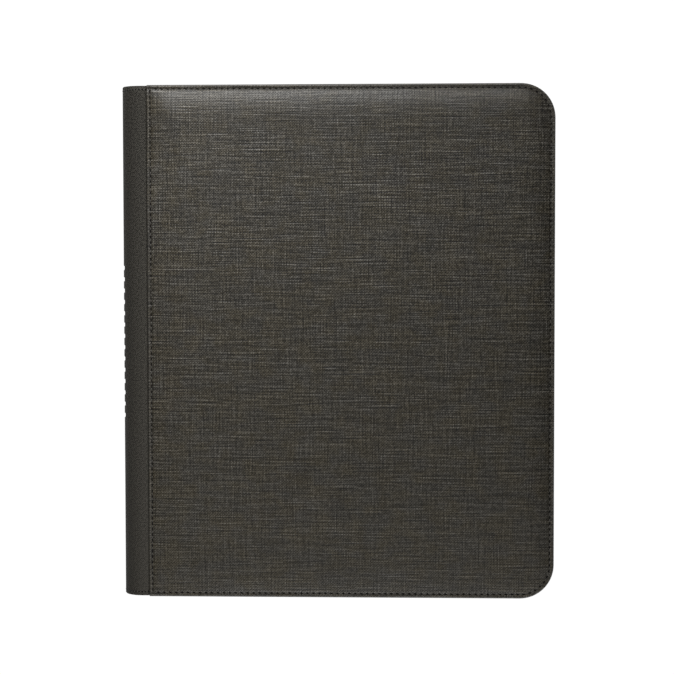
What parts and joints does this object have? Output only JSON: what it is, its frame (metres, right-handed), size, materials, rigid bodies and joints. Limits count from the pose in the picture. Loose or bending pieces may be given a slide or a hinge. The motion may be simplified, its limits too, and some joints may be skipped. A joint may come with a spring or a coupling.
{
  "type": "zippered card binder",
  "caption": "Zip-around card binder with padded linen-look covers, a soft rounded spine, side-loading pocket pages and a toothed zip along three edges",
  "frame": {"origin": "centre of the bounding box's bottom face, with the binder closed on its back cover", "axes": "+X from the spine to the fore edge, +Y to the head of the binder, +Z out of the front cover"},
  "size_m": [0.291, 0.345, 0.0422],
  "materials": {
    "cover_linen": "linen-embossed soft cover, satin",
    "spine_strip": "fine-grained, satin",
    "padding": "soft foam",
    "board": "plain pressed board",
    "lining": "woven, matt",
    "zip_tape": "woven tape",
    "zip_teeth": "moulded, satin",
    "slider_metal": "dark gunmetal, satin",
    "pull_tab": "soft, matt",
    "binding": "welded strip, satin",
    "page": "black sheet with clear film pockets"
  },
  "bodies": {
    "back_cover": {"back_skin": "cover_linen", "back_foam": "padding", "back_board": "board", "back_lining": "lining", "back_spine_flap": "spine_strip", "back_zip_tape": "zip_tape", "back_zip_teeth": "zip_teeth", "back_zip_stop": "slider_metal", "zip_tail": "zip_tape", "zip_end_tab": "spine_strip"},
    "spine": {"spine_skin": "spine_strip", "spine_foam": "padding", "spine_board": "board", "spine_lining": "lining", "page_binding": "binding"},
    "front_cover": {"front_skin": "cover_linen", "front_foam": "padding", "front_board": "board", "front_lining": "lining", "front_spine_flap": "spine_strip", "front_zip_tape": "zip_tape", "front_zip_teeth": "zip_teeth", "front_zip_stop": "slider_metal"},
    "slider": {"slider_body": "slider_metal"},
    "puller": {"pull_link": "slider_metal", "pull_tab": "pull_tab"},
    "page_01": {"page_01": "page"},
    "page_02": {"page_02": "page"},
    "page_03": {"page_03": "page"},
    "page_04": {"page_04": "page"},
    "page_05": {"page_05": "page"},
    "page_06": {"page_06": "page"},
    "page_07": {"page_07": "page"},
    "page_08": {"page_08": "page"},
    "page_09": {"page_09": "page"},
    "page_10": {"page_10": "page"},
    "page_11": {"page_11": "page"},
    "page_12": {"page_12": "page"},
    "page_13": {"page_13": "page"},
    "page_14": {"page_14": "page"},
    "page_15": {"page_15": "page"},
    "page_16": {"page_16": "page"},
    "page_17": {"page_17": "page"},
    "page_18": {"page_18": "page"},
    "page_19": {"page_19": "page"},
    "page_20": {"page_20": "page"}
  },
  "joints": [
    {"name": "spine_fold", "type": "hinge", "parent": "back_cover", "child": "spine", "pos_m": [-0.14271, 0, 0.00709], "axis": [0, -1, 0], "range_deg": [0, 90]},
    {"name": "cover_fold", "type": "hinge", "parent": "spine", "child": "front_cover", "pos_m": [-0.14271, 0, 0.03511], "axis": [0, -1, 0], "range_deg": [0, 90]},
    {"name": "page_01_turn", "type": "hinge", "parent": "spine", "child": "page_01", "pos_m": [-0.1365, 0, 0.00761], "axis": [0, -1, 0], "range_deg": [-79.2, 0]},
    {"name": "page_02_turn", "type": "hinge", "parent": "spine", "child": "page_02", "pos_m": [-0.1365, 0, 0.00903], "axis": [0, -1, 0], "range_deg": [-70.87, 0]},
    {"name": "page_03_turn", "type": "hinge", "parent": "spine", "child": "page_03", "pos_m": [-0.1365, 0, 0.01045], "axis": [0, -1, 0], "range_deg": [-62.53, 0]},
    {"name": "page_04_turn", "type": "hinge", "parent": "spine", "child": "page_04", "pos_m": [-0.1365, 0, 0.01187], "axis": [0, -1, 0], "range_deg": [-54.19, 0]},
    {"name": "page_05_turn", "type": "hinge", "parent": "spine", "child": "page_05", "pos_m": [-0.1365, 0, 0.01329], "axis": [0, -1, 0], "range_deg": [-45.86, 0]},
    {"name": "page_06_turn", "type": "hinge", "parent": "spine", "child": "page_06", "pos_m": [-0.1365, 0, 0.01471], "axis": [0, -1, 0], "range_deg": [-37.52, 0]},
    {"name": "page_07_turn", "type": "hinge", "parent": "spine", "child": "page_07", "pos_m": [-0.1365, 0, 0.01613], "axis": [0, -1, 0], "range_deg": [-29.18, 0]},
    {"name": "page_08_turn", "type": "hinge", "parent": "spine", "child": "page_08", "pos_m": [-0.1365, 0, 0.01755], "axis": [0, -1, 0], "range_deg": [-20.85, 0]},
    {"name": "page_09_turn", "type": "hinge", "parent": "spine", "child": "page_09", "pos_m": [-0.1365, 0, 0.01897], "axis": [0, -1, 0], "range_deg": [-12.51, 0]},
    {"name": "page_10_turn", "type": "hinge", "parent": "spine", "child": "page_10", "pos_m": [-0.1365, 0, 0.02039], "axis": [0, -1, 0], "range_deg": [-4.17, 0]},
    {"name": "page_11_turn", "type": "hinge", "parent": "spine", "child": "page_11", "pos_m": [-0.1365, 0, 0.02181], "axis": [0, -1, 0], "range_deg": [0, 4.17]},
    {"name": "page_12_turn", "type": "hinge", "parent": "spine", "child": "page_12", "pos_m": [-0.1365, 0, 0.02323], "axis": [0, -1, 0], "range_deg": [0, 12.51]},
    {"name": "page_13_turn", "type": "hinge", "parent": "spine", "child": "page_13", "pos_m": [-0.1365, 0, 0.02465], "axis": [0, -1, 0], "range_deg": [0, 20.85]},
    {"name": "page_14_turn", "type": "hinge", "parent": "spine", "child": "page_14", "pos_m": [-0.1365, 0, 0.02607], "axis": [0, -1, 0], "range_deg": [0, 29.18]},
    {"name": "page_15_turn", "type": "hinge", "parent": "spine", "child": "page_15", "pos_m": [-0.1365, 0, 0.02749], "axis": [0, -1, 0], "range_deg": [0, 37.52]},
    {"name": "page_16_turn", "type": "hinge", "parent": "spine", "child": "page_16", "pos_m": [-0.1365, 0, 0.02891], "axis": [0, -1, 0], "range_deg": [0, 45.86]},
    {"name": "page_17_turn", "type": "hinge", "parent": "spine", "child": "page_17", "pos_m": [-0.1365, 0, 0.03033], "axis": [0, -1, 0], "range_deg": [0, 54.19]},
    {"name": "page_18_turn", "type": "hinge", "parent": "spine", "child": "page_18", "pos_m": [-0.1365, 0, 0.03175], "axis": [0, -1, 0], "range_deg": [0, 62.53]},
    {"name": "page_19_turn", "type": "hinge", "parent": "spine", "child": "page_19", "pos_m": [-0.1365, 0, 0.03317], "axis": [0, -1, 0], "range_deg": [0, 70.87]},
    {"name": "page_20_turn", "type": "hinge", "parent": "spine", "child": "page_20", "pos_m": [-0.1365, 0, 0.03459], "axis": [0, -1, 0], "range_deg": [0, 79.2]},
    {"name": "slider_run", "type": "slide", "parent": "back_cover", "child": "slider", "axis": [1, 0, 0], "range_m": [0, 0.219]},
    {"name": "puller_swing", "type": "hinge", "parent": "slider", "child": "puller", "pos_m": [-0.1045, -0.17105, 0.0211], "axis": [0, 0, 1], "range_deg": [-170, 0]}
  ],
  "couplings": [
    {"joint": "cover_fold", "follows": "spine_fold", "ratio": 1},
    {"joint": "page_01_turn", "follows": "spine_fold", "ratio": -0.88},
    {"joint": "page_02_turn", "follows": "spine_fold", "ratio": -0.7874},
    {"joint": "page_03_turn", "follows": "spine_fold", "ratio": -0.6947},
    {"joint": "page_04_turn", "follows": "spine_fold", "ratio": -0.6021},
    {"joint": "page_05_turn", "follows": "spine_fold", "ratio": -0.5095},
    {"joint": "page_06_turn", "follows": "spine_fold", "ratio": -0.4168},
    {"joint": "page_07_turn", "follows": "spine_fold", "ratio": -0.3242},
    {"joint": "page_08_turn", "follows": "spine_fold", "ratio": -0.2316},
    {"joint": "page_09_turn", "follows": "spine_fold", "ratio": -0.1389},
    {"joint": "page_10_turn", "follows": "spine_fold", "ratio": -0.0463},
    {"joint": "page_11_turn", "follows": "spine_fold", "ratio": 0.0463},
    {"joint": "page_12_turn", "follows": "spine_fold", "ratio": 0.1389},
    {"joint": "page_13_turn", "follows": "spine_fold", "ratio": 0.2316},
    {"joint": "page_14_turn", "follows": "spine_fold", "ratio": 0.3242},
    {"joint": "page_15_turn", "follows": "spine_fold", "ratio": 0.4168},
    {"joint": "page_16_turn", "follows": "spine_fold", "ratio": 0.5095},
    {"joint": "page_17_turn", "follows": "spine_fold", "ratio": 0.6021},
    {"joint": "page_18_turn", "follows": "spine_fold", "ratio": 0.6947},
    {"joint": "page_19_turn", "follows": "spine_fold", "ratio": 0.7874},
    {"joint": "page_20_turn", "follows": "spine_fold", "ratio": 0.88}
  ]
}
